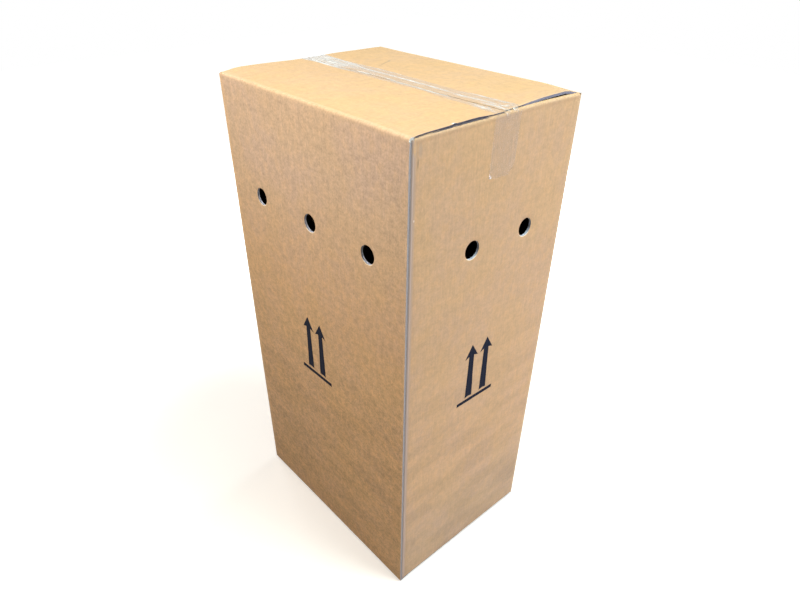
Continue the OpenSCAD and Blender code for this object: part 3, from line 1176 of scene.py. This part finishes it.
def filmSection(kind, amount, y):
    # x, z, normal and path of a station, for the side that the sign of amount gives
    side = -1 if amount < 0 else 1
    radius, gap = board["foldRadius"], tape["gap"]
    jointEnd = halfL - board["jointSetback"]
    flapEnd = outerEnd if side < 0 else jointEnd + (outerEnd - jointEnd) * smooth(y / 4 + 0.5)
    if kind == "top":
        x = amount * (flapEnd if side > 0 else outerEnd)
        return x, boxHeight + flapRise(x, y) + gap, 0.0, 1.0, x
    centreX, centreZ = halfL - radius, boxHeight - board["lapDrop"] - radius
    crest = crestRise(side * halfL, y)
    if kind == "tail":
        part = abs(amount) - radius
        z = centreZ - part + crest * smooth(1 - part / relief["crestReach"])
        return side * (halfL + gap), z, side, 0.0, side * (halfL + 3 + part)
    centreZ += crest
    endZ = boxHeight + flapRise(side * flapEnd, y) + gap
    away = math.hypot(flapEnd - centreX, endZ - centreZ)
    tangent = math.atan2(endZ - centreZ, flapEnd - centreX) - math.acos(min(1, (radius + gap) / away))
    tangent = max(tangent, 0.05)
    touchX = centreX + (radius + gap) * math.cos(tangent)
    touchZ = centreZ + (radius + gap) * math.sin(tangent)
    part = abs(amount)
    if kind == "bridge":
        x, z = flapEnd + (touchX - flapEnd) * part, endZ + (touchZ - endZ) * part
        return side * x, z, side * math.cos(tangent), math.sin(tangent), side * (flapEnd + 2 * part)
    turn = tangent * (1 - part)
    x, z = centreX + (radius + gap) * math.cos(turn), centreZ + (radius + gap) * math.sin(turn)
    return side * x, z, side * math.cos(turn), math.sin(turn), side * (halfL + 3 * part)


def tailTrim(y):
    # how much of the front tail's foot is torn away
    return sum(depth * smooth((y - start) / reach) for start, reach, depth in tape["torn"])


def buildTape():
    stations = filmStations()
    count = tape["across"]
    points, air, flat = [], [], []
    rightWall, leftWall = wallNamed["right"], wallNamed["left"]
    for kind, amount in stations:
        middle = filmSection(kind, amount, 0.0)
        near, far = tapeEdges(middle[4])
        for k in range(count + 1):
            y = near + (far - near) * k / count
            x, z, normalX, normalZ, path = filmSection(kind, amount, y)
            if kind == "tail" and amount > 0:
                z += tailTrim(y) * (abs(amount) - board["foldRadius"]) / tailLength
            edge = min(k, count - k) * (far - near) / count
            lift, trapped = filmLift(path, y, edge)
            if kind == "tail":
                wall = rightWall if amount > 0 else leftWall
                settled = z - crestRise(x, y) * nearTop(z + board["lapDrop"])
                lift = lift * 0.2 + boardShift(wall, math.copysign(1, amount) * y, 0.0, settled)[0]
                trapped = trapped * 0.25 + tape["tailHaze"] * (0.85 + 0.3 * smooth((y - 8) / 12))
                if amount > 0:
                    curl = tape["curl"]
                    reach = math.hypot(y - curl["y"], z - curl["z"]) / curl["reach"]
                    lift += curl["height"] * max(0.0, 1 - reach) ** 1.5
                    trapped += max(0.0, 1.3 - reach * 1.6)
            elif kind == "top":
                lift -= tape["seam"] * bump(y, 0, 1.6) * (1 - min(1, lift * 2))
            points.append((x + normalX * lift, y, z + normalZ * lift))
            air.append(min(1.0, trapped))
            flat.append((path, y))
    faces = []
    for row in range(len(stations) - 1):
        for k in range(count):
            corner = row * (count + 1) + k
            faces.append((corner, corner + count + 1, corner + count + 2, corner + 1))
    film = newPiece("tapeFilm", points, faces, [filmMaterial(tape)])
    layFlat(film.data, "film", flat)
    keepField(film.data, "air", air)
    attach(film, "root")
    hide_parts("tape")


def filmMaterial(spec):
    # clear where it sticks, milky and shiny where air lies under it
    material, tree = newMaterial("clearFilm")
    uv = addNode(tree, "ShaderNodeUVMap", uv_map="film").outputs[0]
    air = addNode(tree, "ShaderNodeAttribute", attribute_name="air").outputs["Fac"]
    thread = noiseAt(tree, stretched(tree, uv, (18, 620, 1)), detail=2)
    cross = noiseAt(tree, stretched(tree, uv, (75, 200, 1)), detail=2)
    streak = mathNode(tree, "MULTIPLY", ramp(tree, thread, 0.36, 0.6, 0.45, 1.0),
                      ramp(tree, cross, 0.3, 0.6, 0.7, 1.0))
    haze = mathNode(tree, "MULTIPLY_ADD", mathNode(tree, "MULTIPLY", air, streak), 0.82,
                    ramp(tree, thread, 0.3, 0.7, 0.0, 0.03), clamp=True)
    relief = addNode(tree, "ShaderNodeBump", {"Height": thread, "Strength": 0.25, "Distance": 0.0004})
    clear = addNode(tree, "ShaderNodeBsdfTransparent", {"Color": (*spec["clear"], 1)})
    milky = addNode(tree, "ShaderNodeBsdfPrincipled", {
        "Base Color": (*spec["haze"], 1), "Roughness": spec["shine"] + 0.2,
        "Normal": relief.outputs[0]})
    body = addNode(tree, "ShaderNodeMixShader", {
        0: haze, 1: clear.outputs[0], 2: milky.outputs[0]})
    gloss = addNode(tree, "ShaderNodeBsdfGlossy", {
        "Roughness": spec["shine"], "Normal": relief.outputs[0]})
    behind = addNode(tree, "ShaderNodeNewGeometry").outputs["Backfacing"]
    density = mathNode(tree, "MULTIPLY_ADD", behind, 1 / spec["density"] - spec["density"],
                       spec["density"])
    fresnel = addNode(tree, "ShaderNodeFresnel", {"IOR": density, "Normal": relief.outputs[0]})
    glossy = mathNode(tree, "MULTIPLY_ADD", air, 0.3, 0.9)
    weight = mathNode(tree, "MULTIPLY", fresnel.outputs[0], glossy)
    film = addNode(tree, "ShaderNodeMixShader", {
        0: weight, 1: body.outputs[0], 2: gloss.outputs[0]})
    toOutput(tree, film)
    return material


buildTape()
print("tape laid")

floorSpec = {
    "size": 9000.0,
    "below": 0.4,                   # just under the box, so that the two do not coincide
    "tone": (0.9, 0.9, 0.9),
    "bounce": (0.44, 0.37, 0.27),   # what the floor throws back onto the box
    "glow": 0.3,
    "whiteFrom": 0.45,
    "whiteTo": 1.0,
}


def makeFloor(spec):
    material, tree = newMaterial("paleFloor")
    seen = seenDirectly(tree)
    colour = mixColour(tree, seen, spec["bounce"], spec["tone"])
    place = addNode(tree, "ShaderNodeTexCoord").outputs["Object"]
    reach = addNode(tree, "ShaderNodeVectorMath", {0: place}, operation="LENGTH").outputs["Value"]
    glow = ramp(tree, reach, spec["whiteFrom"], spec["whiteTo"], spec["glow"], 1.0)
    matt = addNode(tree, "ShaderNodeBsdfDiffuse", {"Color": colour})
    lit = addNode(tree, "ShaderNodeEmission", {"Strength": mathNode(tree, "MULTIPLY", glow, seen)})
    shader = addNode(tree, "ShaderNodeAddShader", {0: matt.outputs[0], 1: lit.outputs[0]})
    toOutput(tree, shader)
    half = spec["size"] / 2
    corners = [(-half, -half, 0), (half, -half, 0), (half, half, 0), (-half, half, 0)]
    floor = newPiece("floor", corners, [(0, 1, 2, 3)], [material])
    floor.location.z = -spec["below"] * mm


worldSpec = {"light": 0.06}
lampSpecs = {
    "topHigh": {"place": (0.3, -0.1, 2.6), "aim": (0, 0, 0.7), "size": (1.2, 1.2), "power": 18.2,
                "colour": (1, 1, 0.8)},
    "topRight": {"place": (0.9, 0.5, 2.1), "aim": (0, 0, 0.6), "size": (1.0, 1.0), "power": 31.6,
                 "colour": (0.9, 1, 0.92)},
    "rightLow": {"place": (1.7, 0.8, 0.35), "aim": (0.19, 0.05, 0.25), "size": (0.8, 0.5),
                 "power": 17, "colour": (0.82, 0.8, 1)},
    "frontNear": {"place": (-0.1, -0.75, 1.05), "aim": (-0.05, -0.145, 0.7), "size": (0.7, 0.25),
                  "power": 7, "colour": (1, 0.9, 0.8)},
    "leftFill": {"place": (-1.9, 0.25, 0.5), "aim": (-0.19, 0.1, 0.36), "size": (0.6, 0.6),
                 "power": 12},
    "backFill": {"place": (-0.5, 1.9, 0.5), "aim": (0, 0.145, 0.36), "size": (0.6, 0.6),
                 "power": 15},
}


def makeLamps(specs):
    for name, spec in specs.items():
        lampData = bpy.data.lights.new(name, "AREA")
        lampData.shape = "RECTANGLE"
        lampData.size, lampData.size_y = spec["size"]
        lampData.energy = spec["power"]
        lampData.color = spec.get("colour", (1, 1, 1))
        lamp = bpy.data.objects.new(name, lampData)
        lamp.visible_camera = False
        bpy.context.scene.collection.objects.link(lamp)
        aim = Vector(spec["aim"]) - Vector(spec["place"])
        lamp.location = spec["place"]
        lamp.rotation_euler = aim.to_track_quat("-Z", "Y").to_euler()


def makeWorld(spec):
    world = bpy.data.worlds.new("studio")
    bpy.context.scene.world = world
    world.use_nodes = True
    tree = world.node_tree
    tree.nodes.clear()
    seen = seenDirectly(tree)
    power = ramp(tree, seen, 0.0, 1.0, spec["light"], 1.0)
    back = addNode(tree, "ShaderNodeBackground", {"Color": (1, 1, 1, 1), "Strength": power})
    toOutput(tree, back, "World")


makeFloor(floorSpec)
makeLamps(lampSpecs)
makeWorld(worldSpec)
bpy.context.scene.view_settings.view_transform = "Standard"
print("studio set")
